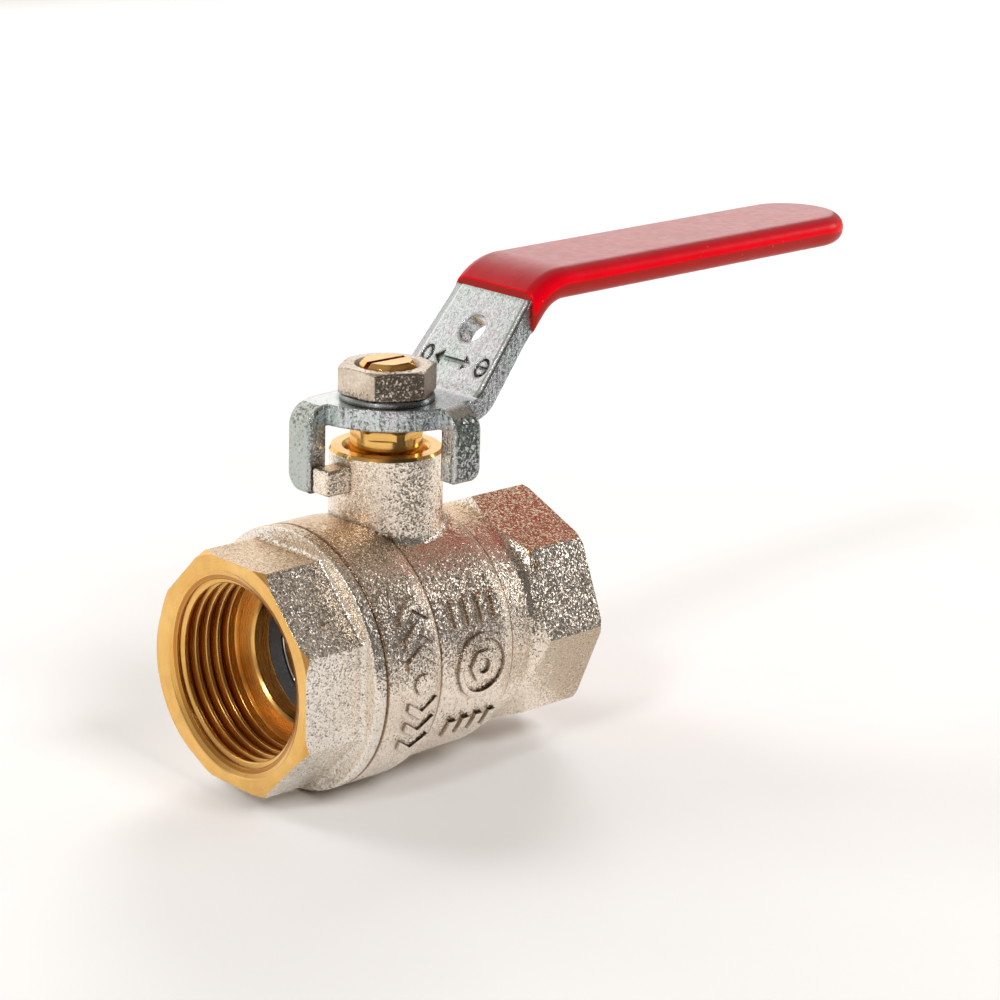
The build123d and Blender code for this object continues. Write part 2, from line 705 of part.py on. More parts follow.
# ---------------------------------------------------------------- lever washer and stem nut
with BuildPart() as lever_washer:
    with BuildSketch(Plane.XY.offset(HUB_TOP)):
        Circle(6.4)
        Circle(STEM_R + 0.1, mode=Mode.SUBTRACT)
    extrude(amount=NUT_BOTTOM - HUB_TOP)
    chamfer(lever_washer.edges().group_by(Axis.Z)[-1].sort_by(SortBy.RADIUS)[-1], 0.15)
save(lever_washer.part, "lever_washer")

NUT_PHASE = 34.4
NUT_CORNER_R = NUT_AF / 2 / cos(radians(30))

with BuildPart() as stem_nut:
    with BuildSketch(Plane.XY.offset(NUT_BOTTOM)):
        RegularPolygon(NUT_AF / 2, 6, major_radius=False, rotation=NUT_PHASE)
    extrude(amount=NUT_TOP - NUT_BOTTOM)
    with BuildSketch(Plane.XZ):
        with BuildLine():
            crown = (NUT_CORNER_R - NUT_AF / 2) * tan(radians(18))
            Polyline(
                (0, NUT_BOTTOM),
                (NUT_AF / 2, NUT_BOTTOM),
                (NUT_CORNER_R, NUT_BOTTOM + crown),
                (NUT_CORNER_R, NUT_TOP - crown),
                (NUT_AF / 2, NUT_TOP),
                (0, NUT_TOP),
                close=True,
            )
        make_face()
    revolve(axis=Axis.Z, mode=Mode.INTERSECT)
    with BuildSketch(Plane.XZ):
        with BuildLine():
            bore_r = STEM_THREAD_R + 0.02
            Polyline(
                (0, NUT_BOTTOM),
                (bore_r + 0.4, NUT_BOTTOM),
                (bore_r, NUT_BOTTOM + 0.4),
                (bore_r, NUT_TOP - 0.7),
                (bore_r + 0.7, NUT_TOP),
                (0, NUT_TOP),
                close=True,
            )
        make_face()
    revolve(axis=Axis.Z, mode=Mode.SUBTRACT)
save(stem_nut.part, "stem_nut")
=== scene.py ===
import math

import bpy
from mathutils import Matrix, Vector


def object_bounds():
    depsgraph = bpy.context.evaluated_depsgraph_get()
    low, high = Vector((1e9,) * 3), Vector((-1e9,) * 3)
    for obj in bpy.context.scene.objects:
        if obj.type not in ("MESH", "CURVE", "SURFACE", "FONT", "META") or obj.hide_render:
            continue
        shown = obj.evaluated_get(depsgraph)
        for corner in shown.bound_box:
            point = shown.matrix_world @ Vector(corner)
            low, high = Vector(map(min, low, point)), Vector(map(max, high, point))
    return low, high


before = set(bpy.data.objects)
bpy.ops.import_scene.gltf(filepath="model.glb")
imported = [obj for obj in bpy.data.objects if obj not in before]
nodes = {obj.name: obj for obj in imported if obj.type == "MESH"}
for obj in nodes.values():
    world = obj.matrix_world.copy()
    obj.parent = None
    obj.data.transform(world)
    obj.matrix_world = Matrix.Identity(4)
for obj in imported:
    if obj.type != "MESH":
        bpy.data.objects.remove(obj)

# Looks of a two-piece brass ball valve: blasted nickel outside, bare turned brass where it was
# machined, a zinc-plated steel lever dipped in red vinyl. Units are metres unless a name says mm.

MM = 0.001
cad_box = [list(corner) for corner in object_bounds()]


# ---------------------------------------------------------------- node material helper
class Paint:
    """One node material.

    Textures work in millimetres of the object's own space, so the grain rides with the piece.
    """

    def __init__(self, name, metallic=0.0, roughness=0.4):
        self.material = bpy.data.materials.new(name)
        self.material.use_nodes = True
        self.tree = self.material.node_tree
        self.tree.nodes.clear()
        output = self.tree.nodes.new("ShaderNodeOutputMaterial")
        self.shader = self.tree.nodes.new("ShaderNodeBsdfPrincipled")
        self.tree.links.new(self.shader.outputs["BSDF"], output.inputs["Surface"])
        self.set("Metallic", metallic)
        self.set("Roughness", roughness)
        coordinates = self.tree.nodes.new("ShaderNodeTexCoord")
        self.place = self.vector("SCALE", coordinates.outputs["Object"], scale=1 / MM)

    def feed(self, socket, value):
        """Links value into socket if it is a socket, and otherwise sets it."""
        if isinstance(value, bpy.types.NodeSocket):
            self.tree.links.new(value, socket)
        else:
            socket.default_value = value

    def set(self, name, value):
        self.feed(self.shader.inputs[name], value)

    def vector(self, operation, first, second=None, scale=None):
        node = self.tree.nodes.new("ShaderNodeVectorMath")
        node.operation = operation
        self.feed(node.inputs[0], first)
        if second is not None:
            self.feed(node.inputs[1], second)
        if scale is not None:
            self.feed(node.inputs["Scale"], scale)
        return node.outputs["Vector"]

    def length(self, vector):
        node = self.tree.nodes.new("ShaderNodeVectorMath")
        node.operation = "LENGTH"
        self.feed(node.inputs[0], vector)
        return node.outputs["Value"]

    def maths(self, operation, first, second=None, clamp=False):
        node = self.tree.nodes.new("ShaderNodeMath")
        node.operation = operation
        node.use_clamp = clamp
        self.feed(node.inputs[0], first)
        if second is not None:
            self.feed(node.inputs[1], second)
        return node.outputs["Value"]

    def split(self, vector):
        node = self.tree.nodes.new("ShaderNodeSeparateXYZ")
        self.feed(node.inputs[0], vector)
        return node.outputs["X"], node.outputs["Y"], node.outputs["Z"]

    def join(self, x, y, z):
        node = self.tree.nodes.new("ShaderNodeCombineXYZ")
        for socket, value in zip(node.inputs, (x, y, z)):
            self.feed(socket, value)
        return node.outputs["Vector"]

    def noise(self, size_mm, detail=2.0, roughness=0.5, place=None, distortion=0.0):
        """Cloudy noise whose blobs are about size_mm across, from 0 to 1."""
        node = self.tree.nodes.new("ShaderNodeTexNoise")
        self.feed(node.inputs["Vector"], self.place if place is None else place)
        node.inputs["Scale"].default_value = 0.5 / size_mm
        node.inputs["Detail"].default_value = detail
        node.inputs["Roughness"].default_value = roughness
        node.inputs["Distortion"].default_value = distortion
        return node.outputs["Fac"]

    def cells(self, size_mm, place=None):
        """Distance to the nearest of many scattered points about size_mm apart."""
        node = self.tree.nodes.new("ShaderNodeTexVoronoi")
        self.feed(node.inputs["Vector"], self.place if place is None else place)
        node.inputs["Scale"].default_value = 1 / size_mm
        return node.outputs["Distance"]

    def ramp(self, factor, *stops):
        """Colour ramp; each stop is (place, (r, g, b)) or (place, grey)."""
        node = self.tree.nodes.new("ShaderNodeValToRGB")
        self.feed(node.inputs["Fac"], factor)
        elements = node.color_ramp.elements
        while len(elements) < len(stops):
            elements.new(1.0)
        for element, (place, colour) in zip(elements, stops):
            element.position = place
            element.color = (*colour, 1) if isinstance(colour, tuple) else (colour, colour, colour, 1)
        return node.outputs["Color"]

    def mix(self, factor, first, second, blend="MIX"):
        node = self.tree.nodes.new("ShaderNodeMix")
        node.data_type = "RGBA"
        node.blend_type = blend
        self.feed(node.inputs["Factor"], factor)
        for socket, value in ((node.inputs[6], first), (node.inputs[7], second)):
            self.feed(socket, (*value, 1) if isinstance(value, tuple) else value)
        return node.outputs[2]

    def rounded_edges(self, radius_mm):
        """Normal that rounds every sharp edge by radius_mm."""
        node = self.tree.nodes.new("ShaderNodeBevel")
        node.samples = 4
        node.inputs["Radius"].default_value = radius_mm * MM
        return node.outputs["Normal"]

    def scattered(self, size_mm, lean, normal):
        """Normal that leans its own random way in each grain, as a blasted surface does."""
        node = self.tree.nodes.new("ShaderNodeTexVoronoi")
        self.feed(node.inputs["Vector"], self.place)
        node.inputs["Scale"].default_value = 1 / size_mm
        way = self.vector("SUBTRACT", node.outputs["Color"], (0.5, 0.5, 0.5))
        way = self.vector("SCALE", way, scale=lean)
        return self.vector("NORMALIZE", self.vector("ADD", normal, way))

    def facing_up(self, start, full):
        """0 where the surface leans more than start allows, 1 where its normal's z is full."""
        node = self.tree.nodes.new("ShaderNodeNewGeometry")
        x, y, z = self.split(node.outputs["Normal"])
        return self.ramp(z, (start, 0.0), (full, 1.0))

    def crevice_shade(self, reach_mm, samples=6):
        """Mask for painted shade, from ambient occlusion: 1 deep in corners and grooves, 0 in the
        open.
        """
        node = self.tree.nodes.new("ShaderNodeAmbientOcclusion")
        node.samples = samples
        node.inputs["Distance"].default_value = reach_mm * MM
        return self.ramp(node.outputs["AO"], (0.3, 0.95), (0.96, 0.0))

    def bump(self, height, depth_mm, normal=None):
        node = self.tree.nodes.new("ShaderNodeBump")
        node.inputs["Distance"].default_value = depth_mm * MM
        self.feed(node.inputs["Height"], height)
        if normal is not None:
            self.feed(node.inputs["Normal"], normal)
        return node.outputs["Normal"]


# ---------------------------------------------------------------- materials
WHITE = (1.0, 1.0, 1.0)
CREASES_X_MM = (-14.5, -4.5, 9.4)
CREASE_HALF_WIDTH_MM = 0.4
BAND_TOP_R_MM = 18.15


def band_creases(paint):
    """1 in the creases that run round the bands: the joint line, a dark joint, and the foot of each
    step, where it marks painted shade.
    """
    x, y, z = paint.split(paint.place)
    radius = paint.length(paint.join(0.0, y, z))
    joint_and_step_shade = 0.0
    for crease_x in CREASES_X_MM:
        away = paint.maths("ABSOLUTE", paint.maths("SUBTRACT", x, crease_x))
        share = paint.maths("DIVIDE", away, CREASE_HALF_WIDTH_MM)
        joint_and_step_shade = paint.maths("ADD", joint_and_step_shade, paint.maths("SUBTRACT", 1.0, share, clamp=True))
    return paint.maths("MULTIPLY", joint_and_step_shade, paint.maths("LESS_THAN", radius, BAND_TOP_R_MM))


def blasted_nickel(name, tint=(1.0, 0.89, 0.77)):
    """Nickel plate over shot-blasted brass: pale champagne with a fine, glinting grain."""
    paint = Paint(name, metallic=1.0)
    grain = paint.noise(0.16, detail=2.0, roughness=0.55)
    pits = paint.cells(0.32)
    cloud = paint.noise(5.0, detail=3.0)
    relief = paint.maths("ADD", grain, paint.maths("MULTIPLY", pits, 0.45))
    # Grain colour runs from near black in the low pits to white on the high grains: partly the
    # grain's own tone, partly painted shade in the pits and painted reflection speckle.
    shade = paint.ramp(relief, (0.38, 0.10), (0.48, 0.58), (0.59, 0.94), (0.8, 1.0))
    plate = paint.mix(1.0, shade, tint, "MULTIPLY")
    plate = paint.mix(paint.ramp(cloud, (0.4, 0.0), (0.8, 0.35)), plate, (0.52, 0.40, 0.27))
    worn = paint.ramp(paint.noise(1.1, detail=3.0), (0.69, 0.0), (0.76, 0.8))
    plate = paint.mix(worn, plate, (0.62, 0.38, 0.13))
    # Painted shade: faces that look up are darkened and warmed to tan.
    plate = paint.mix(paint.facing_up(0.7, 1.0), plate, (0.80, 0.66, 0.50), "MULTIPLY")
    # Painted shade: corners and grooves are darkened to deep brown.
    plate = paint.mix(paint.crevice_shade(0.7), plate, (0.10, 0.06, 0.03), "MULTIPLY")
    # Dark joint line, and painted shade at the foot of each step.
    joint_and_step_shade = paint.ramp(band_creases(paint), (0.0, 0.0), (0.6, 0.85))
    plate = paint.mix(joint_and_step_shade, plate, (0.30, 0.18, 0.09), "MULTIPLY")
    paint.set("Base Color", plate)
    paint.set("Roughness", paint.ramp(grain, (0.3, 0.31), (0.7, 0.2)))
    blasted = paint.scattered(0.24, 0.42, paint.rounded_edges(0.12))
    paint.set("Normal", paint.bump(relief, 0.06, blasted))
    return paint.material


THREAD_FLANK_R_MM = 12.4
THREAD_ROOT_R_MM = 13.35


def turned_brass(name, threaded):
    """Bare brass straight from the lathe, turned about X and with painted shade in the thread roots
    if threaded.
    """
    paint = Paint(name, metallic=1.0)
    x, y, z = paint.split(paint.place)
    radius = paint.length(paint.join(0.0, y, z) if threaded else paint.join(x, y, 0.0))
    along = x if threaded else z
    tool_marks = paint.noise(0.16, detail=2.0, place=paint.join(along, radius, 0.0))
    cloud = paint.noise(3.5, detail=3.0)
    metal = paint.ramp(cloud, (0.3, (0.78, 0.43, 0.11)), (0.7, (0.96, 0.61, 0.21)))
    rings = paint.ramp(tool_marks, (0.3, (0.5, 0.22, 0.04)), (0.7, (1.0, 0.7, 0.28)))
    metal = paint.mix(0.15, metal, rings)
    stain = paint.ramp(paint.noise(1.8, detail=4.0, roughness=0.6), (0.5, 0.0), (0.72, 0.4))
    metal = paint.mix(stain, metal, (0.52, 0.29, 0.09))
    if threaded:
        # Painted shade: the thread roots darken to deep orange-brown.
        depth = paint.maths("SUBTRACT", radius, THREAD_FLANK_R_MM)
        root_shade = paint.ramp(depth, (0.0, 0.0), (0.62, 1.0))
        root_shade = paint.maths("MULTIPLY", root_shade, paint.maths("LESS_THAN", radius, THREAD_ROOT_R_MM))
        metal = paint.mix(root_shade, metal, (0.5, 0.22, 0.05))
    paint.set("Base Color", metal)
    finish = (0.34, 0.2) if threaded else (0.2, 0.1)
    paint.set("Roughness", paint.ramp(tool_marks, (0.3, finish[0]), (0.7, finish[1])))
    paint.set("Anisotropic", 0.35)
    tangent = paint.tree.nodes.new("ShaderNodeTangent")
    tangent.direction_type = "RADIAL"
    tangent.axis = "X" if threaded else "Z"
    paint.set("Tangent", tangent.outputs["Tangent"])
    edges = paint.rounded_edges(0.15)
    paint.set("Normal", paint.bump(tool_marks, 0.006 if threaded else 0.003, edges))
    return paint.material


def nickel_nut(name):
    """Bright warm nickel on a turned nut, with handling marks."""
    paint = Paint(name, metallic=1.0)
    marks = paint.noise(0.18, detail=3.0)
    cloud = paint.noise(2.5)
    metal = paint.ramp(cloud, (0.3, (0.50, 0.40, 0.30)), (0.7, (0.74, 0.64, 0.53)))
    metal = paint.mix(paint.ramp(marks, (0.36, 0.25), (0.46, 0.0)), metal, (0.22, 0.17, 0.13))
    metal = paint.mix(paint.ramp(marks, (0.58, 0.0), (0.66, 0.35)), metal, (1.0, 0.97, 0.93))
    # Painted shade: corners and grooves are darkened to brown.
    metal = paint.mix(paint.crevice_shade(1.0), metal, (0.3, 0.2, 0.12), "MULTIPLY")
    paint.set("Base Color", metal)
    paint.set("Roughness", paint.ramp(marks, (0.3, 0.2), (0.7, 0.09)))
    scattered = paint.scattered(0.24, 0.2, paint.rounded_edges(0.35))
    paint.set("Normal", paint.bump(marks, 0.015, scattered))
    return paint.material


def zinc_colour(paint):
    """Plated steel: pale grey drifting a little to green and to pink, with tiny dark specks."""
    drift = paint.noise(3.0, detail=3.0, distortion=0.6)
    plate = paint.ramp(
        drift,
        (0.3, (0.66, 0.75, 0.73)),
        (0.5, (0.72, 0.78, 0.80)),
        (0.64, (0.75, 0.74, 0.79)),
        (0.8, (0.82, 0.86, 0.89)),
    )
    specks = paint.ramp(paint.noise(0.16, detail=2.0), (0.27, 0.7), (0.36, 0.0))
    return paint.mix(specks, plate, (0.16, 0.16, 0.15))


ARM_EDGE_Y_MM = 8.94
ARM_TAPER = 0.08
ARM_ROOT_X_MM = 9.0
ROLL_WIDTH_MM = 1.3


def arm_edge_roll(paint):
    """Height that drops towards the arm's two long edges, where the punch drew the sheet down."""
    x, y, z = paint.split(paint.place)
    edge_y = paint.maths("SUBTRACT", ARM_EDGE_Y_MM, paint.maths("MULTIPLY", x, ARM_TAPER))
    inwards = paint.maths("SUBTRACT", edge_y, paint.maths("ABSOLUTE", y))
    share = paint.maths("DIVIDE", inwards, ROLL_WIDTH_MM)
    near_edge = paint.maths("SUBTRACT", 1.0, share, clamp=True)
    on_arm = paint.maths("GREATER_THAN", x, ARM_ROOT_X_MM)
    drop = paint.maths("MULTIPLY", paint.maths("POWER", near_edge, 2.0), on_arm)
    return paint.maths("SUBTRACT", 1.0, drop)


def zinc_plate(name, tint=WHITE, lean=0.08):
    """Face of the plated sheet; lean is how much its grains scatter, and tint multiplies its colour,
    where the darker tints given to the ears and the washer are painted shade.
    """
    paint = Paint(name, metallic=1.0)
    fine = paint.noise(0.16, detail=4.0)
    # Painted shade: corners and grooves are darkened, then the colour is multiplied by tint.
    colour = paint.mix(paint.crevice_shade(0.9), zinc_colour(paint), (0.10, 0.10, 0.06), "MULTIPLY")
    colour = paint.mix(1.0, colour, tint, "MULTIPLY")
    paint.set("Base Color", colour)
    paint.set("Roughness", paint.ramp(fine, (0.3, 0.32), (0.7, 0.18)))
    scattered = paint.scattered(0.3, lean, paint.rounded_edges(0.6))
    grained = paint.bump(fine, 0.022, scattered)
    paint.set("Normal", paint.bump(arm_edge_roll(paint), 0.8, grained))
    return paint.material


def zinc_sheared(name):
    """Cut edge of the plated sheet: streaks across the thickness, then a torn, speckled band."""
    paint = Paint(name, metallic=1.0)
    x, y, z = paint.split(paint.place)
    stretched = paint.join(x, y, paint.maths("MULTIPLY", z, 0.15))
    streaks = paint.noise(0.3, detail=3.0, place=stretched)
    torn = paint.noise(0.2, detail=3.0, roughness=0.7)
    streaks = paint.maths("MULTIPLY", streaks, 0.5)
    relief = paint.maths("ADD", streaks, paint.maths("MULTIPLY", torn, 0.7))
    plate = zinc_colour(paint)
    plate = paint.mix(paint.ramp(relief, (0.48, 0.85), (0.6, 0.0)), plate, (0.1, 0.1, 0.1))
    paint.set("Base Color", plate)
    paint.set("Roughness", paint.ramp(torn, (0.3, 0.34), (0.7, 0.2)))
    scattered = paint.scattered(0.3, 0.16, paint.rounded_edges(0.5))
    paint.set("Normal", paint.bump(relief, 0.15, scattered))
    return paint.material


def red_vinyl(name):
    """Dip-moulded vinyl: red and glossiest on top, with painted shade that darkens the red on top and
    below, a wavy skin and stray dust.
    """
    paint = Paint(name)
    wave = paint.noise(4.0, detail=2.0)
    skin = paint.noise(0.6, detail=3.0)
    dust = paint.ramp(paint.noise(0.22, detail=1.0), (0.76, 0.0), (0.8, 0.35))
    colour = paint.ramp(wave, (0.3, (0.78, 0.0, 0.006)), (0.7, (0.90, 0.0, 0.013)))
    top = paint.facing_up(0.3, 0.95)
    # Painted shade: faces that look up get a darker red.
    colour = paint.mix(top, colour, (0.40, 1.0, 1.0), "MULTIPLY")
    # Painted shade: faces that look down get a dark red.
    colour = paint.mix(paint.facing_up(-0.98, -0.8), (0.42, 0.02, 0.015), colour)
    colour = paint.mix(dust, colour, (0.75, 0.3, 0.3))
    relief = paint.maths("ADD", wave, paint.maths("MULTIPLY", skin, 0.12))
    paint.set("Base Color", colour)
    paint.set("Roughness", paint.ramp(skin, (0.3, 0.36), (0.7, 0.28)))
    paint.set("Specular IOR Level", paint.ramp(top, (0.0, 0.06), (1.0, 0.4)))
    paint.set("Coat Weight", paint.ramp(top, (0.6, 0.05), (1.0, 0.45)))
    paint.set("Coat Roughness", 0.2)
    paint.set("Subsurface Weight", 0.06)
    paint.set("Subsurface Radius", (0.002, 0.0004, 0.0003))
    paint.set("Normal", paint.bump(relief, 0.16))
    return paint.material


def chrome(name):
    """Hard-chromed ball with hairline polishing marks."""
    paint = Paint(name, metallic=1.0)
    x, y, z = paint.split(paint.place)
    stretched = paint.join(x, paint.maths("MULTIPLY", y, 0.2), z)
    hairlines = paint.noise(0.15, detail=4.0, place=stretched)
    haze = paint.noise(4.0, detail=2.0)
    metal = paint.ramp(haze, (0.3, (0.60, 0.61, 0.63)), (0.7, (0.80, 0.80, 0.81)))
    paint.set("Base Color", metal)
    paint.set("Roughness", paint.ramp(hairlines, (0.35, 0.14), (0.65, 0.05)))
    paint.set("Normal", paint.bump(hairlines, 0.004))
    return paint.material


def polymer(name, dark, light, roughness, depth_mm=0.02):
    """Turned or moulded plastic or rubber with a faint skin."""
    paint = Paint(name)
    skin = paint.noise(0.25, detail=3.0)
    cloud = paint.noise(2.0, detail=2.0)
    colour = paint.ramp(cloud, (0.3, dark), (0.7, light))
    paint.set("Base Color", colour)
    paint.set("Roughness", paint.ramp(skin, (0.3, roughness + 0.08), (0.7, roughness - 0.06)))
    paint.set("Normal", paint.bump(skin, depth_mm, paint.rounded_edges(0.15)))
    return paint.material


# ---------------------------------------------------------------- which face gets which material
def face_facts(mesh):
    """Each face with its centre in mm, its normal, and its distance from the X and Z axes in mm."""
    for polygon in mesh.polygons:
        centre = polygon.center / MM
        from_x = math.hypot(centre.y, centre.z)
        from_z = math.hypot(centre.x, centre.y)
        yield polygon, centre, polygon.normal, from_x, from_z


def dress(node_name, *materials):
    """Gives a CAD node its materials; the first covers every face that paint_faces() leaves alone."""
    mesh = nodes[node_name].data
    mesh.materials.clear()
    for material in materials:
        mesh.materials.append(material)
    for polygon in mesh.polygons:
        polygon.material_index = 0
    return mesh


def paint_faces(mesh, index, wanted):
    """Puts material number index on every face for which wanted(centre, normal, r_x, r_z) is true."""
    for polygon, centre, normal, from_x, from_z in face_facts(mesh):
        if wanted(centre, normal, from_x, from_z):
            polygon.material_index = index


# Places on the valve, in mm, where one finish ends and the next begins.
END_FACE_X = 25.99
END_CHAMFER_X = 22
FACE_CHAMFER_LEAN = 0.5
BORE_EDGE_R = 14.35
CONNECTOR_NOSE_X = -14.4
SOCKET_X = -15.4
SOCKET_R = 16.2
INNER_BODY_R = 14.0
COLUMN_FOOT_Z = 15
CHAMBER_FLOOR_Z = 8
CHAMBER_R = 6.4
NECK_TOP_Z = 26.54
NECK_R = 8.0
EAR_START = 8.9
EAR_TOP_Z = 33.4
EAR_END_X = 7
HUB_R = 13


def connector_is_machined(centre, normal, from_x, from_z):
    near_face = centre.x < -END_FACE_X
    face_chamfer = centre.x < -END_CHAMFER_X and normal.x < -FACE_CHAMFER_LEAN
    nose = centre.x > CONNECTOR_NOSE_X
    return from_x < BORE_EDGE_R or near_face or face_chamfer or nose


def body_is_machined(centre, normal, from_x, from_z):
    far_face = centre.x > END_FACE_X
    face_chamfer = centre.x > END_CHAMFER_X and normal.x > FACE_CHAMFER_LEAN
    inside = from_x < INNER_BODY_R and centre.z < COLUMN_FOOT_Z
    socket = centre.x < SOCKET_X and from_x < SOCKET_R
    neck_top = centre.z > NECK_TOP_Z and from_z < NECK_R
    stem_bore = centre.z > CHAMBER_FLOOR_Z and from_z < CHAMBER_R
    return far_face or face_chamfer or inside or socket or neck_top or stem_bore


def body_column_is_machined(centre, normal, from_x, from_z):
    return body_is_machined(centre, normal, from_x, from_z) and centre.z > COLUMN_FOOT_Z


def on_which_ear(centre):
    """Whether a point is on the lever's left ear, and whether it is on its right ear."""
    below_hub = centre.z < EAR_TOP_Z
    on_left_ear = below_hub and centre.x < -EAR_START
    on_right_ear = below_hub and centre.y < -EAR_START and centre.x < EAR_END_X
    return on_left_ear, on_right_ear


def lever_is_ear(centre, normal, from_x, from_z):
    return any(on_which_ear(centre))


def lever_is_sheared(centre, normal, from_x, from_z):
    on_left_ear, on_right_ear = on_which_ear(centre)
    if on_left_ear:
        return abs(normal.y) > 0.7 or normal.z < -0.7
    if on_right_ear:
        return abs(normal.x) > 0.7 or normal.z < -0.7
    return abs(normal.y) > 0.7 or (abs(normal.z) < 0.3 and from_z < HUB_R)


nickel_body = blasted_nickel("blasted_nickel_body")
nickel_connector = blasted_nickel("blasted_nickel_connector", tint=(1.0, 0.93, 0.84))
port_brass = turned_brass("turned_brass_port", threaded=True)
stem_column_brass = turned_brass("turned_brass_upright", threaded=False)

connector_mesh = dress("end_connector", nickel_connector, port_brass)
paint_faces(connector_mesh, 1, connector_is_machined)

body_mesh = dress("body", nickel_body, port_brass, stem_column_brass)
paint_faces(body_mesh, 1, body_is_machined)
paint_faces(body_mesh, 2, body_column_is_machined)

# Painted shade: the bent ears get a darker, slightly yellow-green copy of the zinc plate.
ear_zinc_painted_shade = zinc_plate("zinc_bent_ear_painted_shade", tint=(0.70, 0.69, 0.645), lean=0.4)
sheared_zinc = zinc_sheared("zinc_sheared_edge")
lever_mesh = dress("lever", zinc_plate("zinc_plate"), sheared_zinc, ear_zinc_painted_shade)
paint_faces(lever_mesh, 2, lever_is_ear)
paint_faces(lever_mesh, 1, lever_is_sheared)

dress("lever_grip", red_vinyl("red_vinyl"))
# Painted shade: the washer under the nut gets a darker copy of the zinc plate.
dress("lever_washer", zinc_plate("zinc_washer_painted_shade", tint=(0.55, 0.55, 0.55)))
dress("stem_nut", nickel_nut("nickel_nut"))
dress("stem", stem_column_brass)
dress("gland_nut", turned_brass("turned_brass_gland", threaded=False))
dress("ball", chrome("hard_chrome"))
SEAT_GREYS = (0.14, 0.155, 0.175), (0.19, 0.21, 0.235)
PACKING_WHITES = (0.72, 0.72, 0.69), (0.86, 0.86, 0.84)
RUBBER_BLACKS = (0.012, 0.012, 0.013), (0.028, 0.028, 0.03)
for seat in ("inlet_seat", "outlet_seat"):
    dress(seat, polymer("filled_ptfe_" + seat, *SEAT_GREYS, 0.24))
for packing in ("packing_ring_lower", "packing_ring_upper", "thrust_washer"):
    dress(packing, polymer("white_ptfe_" + packing, *PACKING_WHITES, 0.4))
dress("stem_o_ring", polymer("black_rubber", *RUBBER_BLACKS, 0.5))

# ---------------------------------------------------------------- smooth shading on curved faces
SMOOTH_ANGLE = math.radians(24)
for node in nodes.values():
    for polygon in node.data.polygons:
        polygon.use_smooth = True
    node.data.set_sharp_from_angle(angle=SMOOTH_ANGLE)

# ---------------------------------------------------------------- floor
FLOOR_SIZE = 12.0
floor_paint = Paint("pale_floor", roughness=0.9)
floor_paint.set("Base Color", floor_paint.ramp(floor_paint.noise(40.0), (0.3, 0.86), (0.7, 0.9)))
floor_mesh = bpy.data.meshes.new("floor")
half = FLOOR_SIZE / 2
floor_z = cad_box[0][2]
floor_corners = [
    (-half, -half, floor_z),
    (half, -half, floor_z),
    (half, half, floor_z),
    (-half, half, floor_z),
]
floor_mesh.from_pydata(floor_corners, [], [(0, 1, 2, 3)])
floor_mesh.materials.append(floor_paint.material)
floor = bpy.data.objects.new("floor", floor_mesh)
bpy.context.scene.collection.objects.link(floor)

# ---------------------------------------------------------------- light
world = bpy.data.worlds.new("studio")
bpy.context.scene.world = world
world.use_nodes = True
backdrop = world.node_tree
sky = backdrop.nodes["Background"]
SKY_WARM = (0.40, 0.35, 0.30, 1)
SKY_DARK = (0.06, 0.054, 0.05, 1)
DARK_WAY = Vector((0.12, -0.80, 0.58)).normalized()
DARK_FROM, DARK_FULL = 0.62, 0.92


def paint_sky():
    """Warm grey room with one dark side, above and to the right of the camera."""
    direction = backdrop.nodes.new("ShaderNodeTexCoord")
    towards_dark = backdrop.nodes.new("ShaderNodeVectorMath")
    towards_dark.operation = "DOT_PRODUCT"
    towards_dark.inputs[1].default_value = DARK_WAY
    shade = backdrop.nodes.new("ShaderNodeValToRGB")
    shade.color_ramp.interpolation = "EASE"
    shade.color_ramp.elements[0].position = DARK_FROM
    shade.color_ramp.elements[0].color = SKY_WARM
    shade.color_ramp.elements[1].position = DARK_FULL
    shade.color_ramp.elements[1].color = SKY_DARK
    backdrop.links.new(direction.outputs["Generated"], towards_dark.inputs[0])
    backdrop.links.new(towards_dark.outputs["Value"], shade.inputs["Fac"])
    backdrop.links.new(shade.outputs["Color"], sky.inputs["Color"])


paint_sky()

CENTRE = Vector((0.02, 0.0, 0.02))


def place_light(name, light, toward, distance):
    """Puts a light in direction toward from the valve, facing it."""
    lamp = bpy.data.objects.new(name, light)
    direction = Vector(toward).normalized()
    lamp.location = CENTRE + direction * distance
    lamp.rotation_euler = direction.to_track_quat("Z", "Y").to_euler()
    bpy.context.scene.collection.objects.link(lamp)
    return lamp


def softbox(name, toward, distance, width, height, brightness):
    """Rectangular light; brightness is what a mirror would show of it, where 1 is white."""
    light = bpy.data.lights.new(name, "AREA")
    light.shape = "RECTANGLE"
    light.size = width
    light.size_y = height
    light.energy = brightness * math.pi * width * height
    place_light(name, light, toward, distance)


def far_lamp(name, toward, strength, spread_degrees, glossy=True):
    """Distant round light that reaches the whole floor evenly; metal sees it only if glossy."""
    light = bpy.data.lights.new(name, "SUN")
    light.energy = strength
    light.angle = math.radians(spread_degrees)
    place_light(name, light, toward, 2.0).visible_glossy = glossy


far_lamp("back_left", (-0.45, 0.7, 0.6), 0.7, 25, glossy=False)
far_lamp("back_right", (0.7, 0.6, 0.5), 1.1, 25, glossy=False)
far_lamp("key_left", (-0.9, -0.3, 0.8), 0.6, 10)
far_lamp("high_front", (0.1, -0.8, 0.8), 1.4, 20, glossy=False)
softbox("back_wall", (0.12, 0.87, 0.4), 0.8, 1.8, 0.6, 0.85)
softbox("glint_box", (0.87, -0.38, 0.32), 0.8, 0.22, 0.22, 5.0)


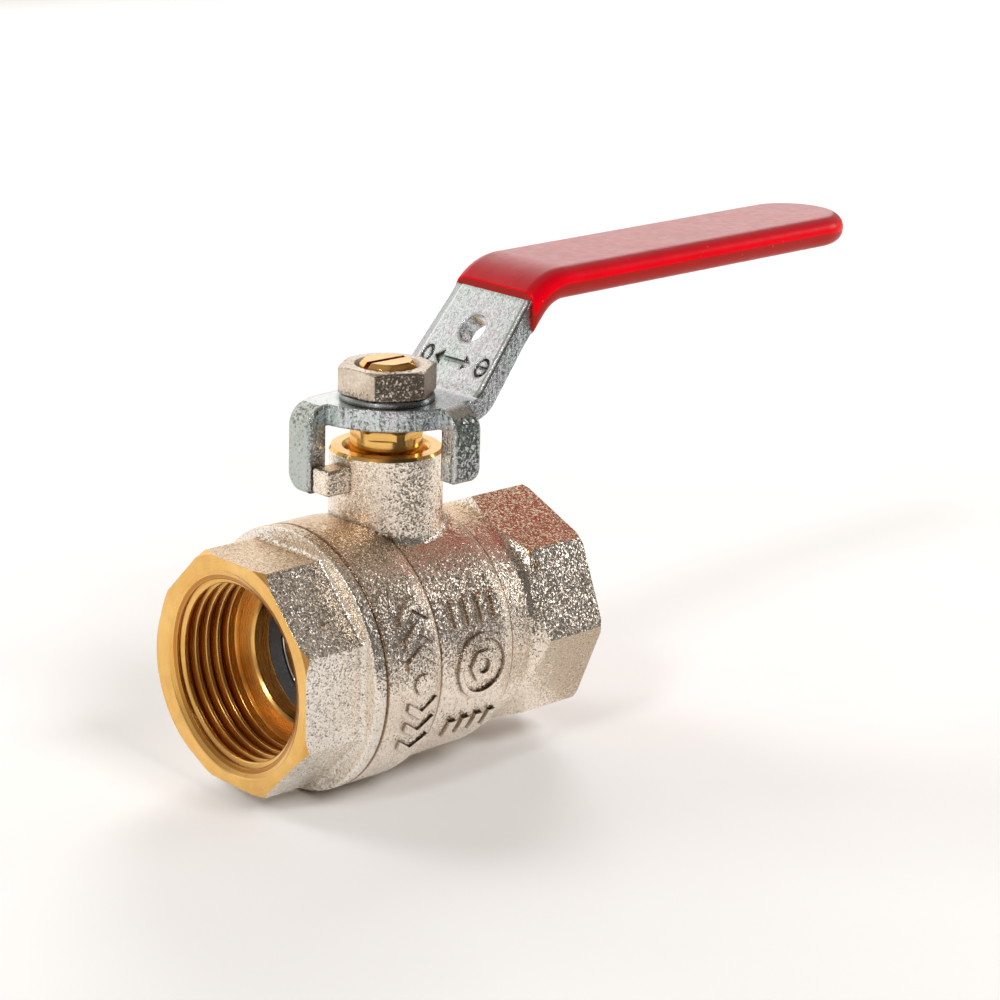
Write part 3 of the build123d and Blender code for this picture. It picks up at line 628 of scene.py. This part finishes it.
def card(name, corners, dark, light):
    """Matt card that only reflections see; it puts a darker patch in the metal."""
    paint = Paint(name, roughness=1.0)
    paint.set("Base Color", paint.ramp(paint.noise(30.0), (0.3, dark), (0.7, light)))
    mesh = bpy.data.meshes.new(name)
    mesh.from_pydata(corners, [], [(0, 1, 2, 3)])
    mesh.materials.append(paint.material)
    sheet = bpy.data.objects.new(name, mesh)
    bpy.context.scene.collection.objects.link(sheet)
    sheet.visible_camera = False
    sheet.visible_diffuse = False
    sheet.visible_shadow = False


def standing(toward, distance, width, height):
    """Corners of a card that stands on the floor in direction toward, facing the valve."""
    side = Vector((-toward[1], toward[0], 0)).normalized() * width / 2
    foot = Vector((*toward, 0)).normalized() * distance + Vector((0, 0, floor_z + 0.001))
    head = foot + Vector((0, 0, height))
    return [foot - side, foot + side, head + side, head - side]


def lying(x_range, y_range):
    """Corners of a card that lies just over the floor."""
    z = floor_z + 0.0005
    (x0, x1), (y0, y1) = x_range, y_range
    return [(x0, y0, z), (x1, y0, z), (x1, y1, z), (x0, y1, z)]


card("front_flag", standing((0.342, -0.94), 0.11, 0.2, 0.13), 0.07, 0.12)
# Painted shadow: a tan card lying on the floor under the far port, seen only in reflections, stands
# in for shade on the floor there.
under_far_port = lying((0.026, 0.060), (-0.042, -0.013))
card("tan_card", under_far_port, (0.42, 0.37, 0.31), (0.50, 0.45, 0.38))

# ---------------------------------------------------------------- camera
VIEW_AZIMUTH = math.radians(-43.386)
VIEW_ELEVATION = math.radians(16.864)
VIEW_ROLL = math.radians(1.785)
VIEW_DISTANCE = 0.357
VIEW_SHIFT = (0.01609, 0.01832)
LENS_MM = 93.52
SENSOR_MM = 36.0


def photo_view():
    """Camera matrix: columns are right, up and back."""
    flat = Vector((math.sin(VIEW_AZIMUTH), -math.cos(VIEW_AZIMUTH), 0))
    back = flat * math.cos(VIEW_ELEVATION) + Vector((0, 0, math.sin(VIEW_ELEVATION)))
    level = Vector((math.cos(VIEW_AZIMUTH), math.sin(VIEW_AZIMUTH), 0))
    upright = back.cross(level)
    right = level * math.cos(VIEW_ROLL) + upright * math.sin(VIEW_ROLL)
    up = upright * math.cos(VIEW_ROLL) - level * math.sin(VIEW_ROLL)
    place = back * VIEW_DISTANCE + right * VIEW_SHIFT[0] + up * VIEW_SHIFT[1]
    matrix = Matrix((right, up, back)).transposed().to_4x4()
    matrix.translation = place
    return matrix


camera_data = bpy.data.cameras.new("camera")
camera_data.lens = LENS_MM
camera_data.sensor_width = SENSOR_MM
camera_data.clip_start = 0.01
camera = bpy.data.objects.new("camera", camera_data)
camera.matrix_world = photo_view()
bpy.context.scene.collection.objects.link(camera)
bpy.context.scene.camera = camera
bpy.context.scene.view_settings.view_transform = "Standard"
